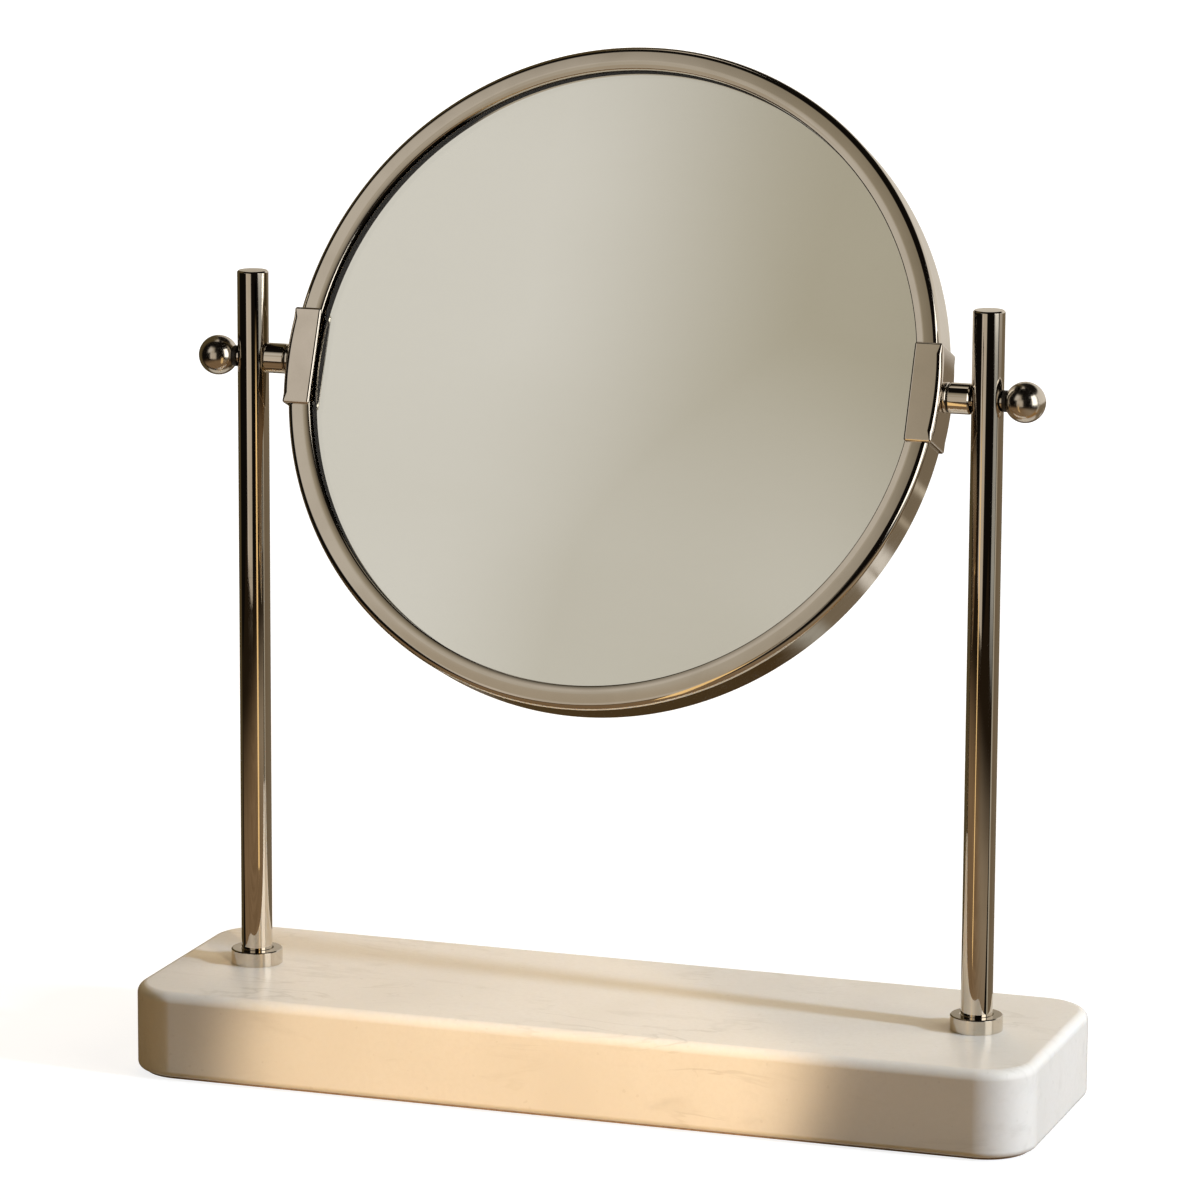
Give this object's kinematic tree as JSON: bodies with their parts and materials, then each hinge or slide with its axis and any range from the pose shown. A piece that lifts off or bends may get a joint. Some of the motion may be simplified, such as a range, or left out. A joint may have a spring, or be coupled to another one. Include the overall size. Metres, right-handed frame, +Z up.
{
  "type": "vanity mirror",
  "caption": "Round tilting table mirror in a polished nickel rim, hung between upright posts with ball knobs on a rounded slab of pale marble.",
  "frame": {"origin": "middle of the pad's underside, on the surface that the mirror stands on", "axes": "+X along the tilt axis to the viewer's right, +Y away from the viewer, +Z up"},
  "size_m": [0.357, 0.1144, 0.3926],
  "materials": {
    "stone": "polished pale marble with faint grey veins",
    "pad": "thin dark brown felt",
    "nickel": "polished nickel plate, slightly warm",
    "fixings": "plain plated steel",
    "mirror": "clear float glass, silvered at the back",
    "board": "fibreboard",
    "back": "satin nickel sheet",
    "nylon": "black nylon"
  },
  "bodies": {
    "stand": {"base_slab": "stone", "base_pad": "pad", "left_post": "nickel", "right_post": "nickel", "left_collar": "nickel", "right_collar": "nickel", "left_spacer": "nickel", "right_spacer": "nickel", "post_screws": "fixings", "flat_washers": "fixings", "lock_washers": "fixings"},
    "mirror_head": {"rim": "nickel", "mirror_glass": "mirror", "backing_board": "board", "back_plate": "back", "back_plate_screws": "fixings", "left_bracket": "nickel", "right_bracket": "nickel", "left_pivot_stud": "nickel", "right_pivot_stud": "nickel", "left_friction_washer": "nylon", "right_friction_washer": "nylon"},
    "left_washer": {"left_knob_washer": "nylon"},
    "left_ball": {"left_knob": "nickel"},
    "right_washer": {"right_knob_washer": "nylon"},
    "right_ball": {"right_knob": "nickel"}
  },
  "joints": [
    {"name": "mirror_tilt", "type": "hinge", "parent": "stand", "child": "mirror_head", "pos_m": [0, 0, 0.273], "axis": [1, 0, 0], "continuous": true},
    {"name": "left_washer_slide", "type": "slide", "parent": "mirror_head", "child": "left_washer", "axis": [-1, 0, 0], "range_m": [0, 0.00639]},
    {"name": "left_knob_turn", "type": "hinge", "parent": "left_washer", "child": "left_ball", "pos_m": [-0.15925, 0, 0.273], "axis": [-1, 0, 0], "range_deg": [0, 2880]},
    {"name": "right_washer_slide", "type": "slide", "parent": "mirror_head", "child": "right_washer", "axis": [1, 0, 0], "range_m": [0, 0.00639]},
    {"name": "right_knob_turn", "type": "hinge", "parent": "right_washer", "child": "right_ball", "pos_m": [0.15925, 0, 0.273], "axis": [1, 0, 0], "range_deg": [0, 2880]}
  ],
  "couplings": [
    {"joint": "left_knob_turn", "follows": "left_washer_slide", "rad_per_m": 7854},
    {"joint": "right_knob_turn", "follows": "right_washer_slide", "rad_per_m": 7854}
  ]
}
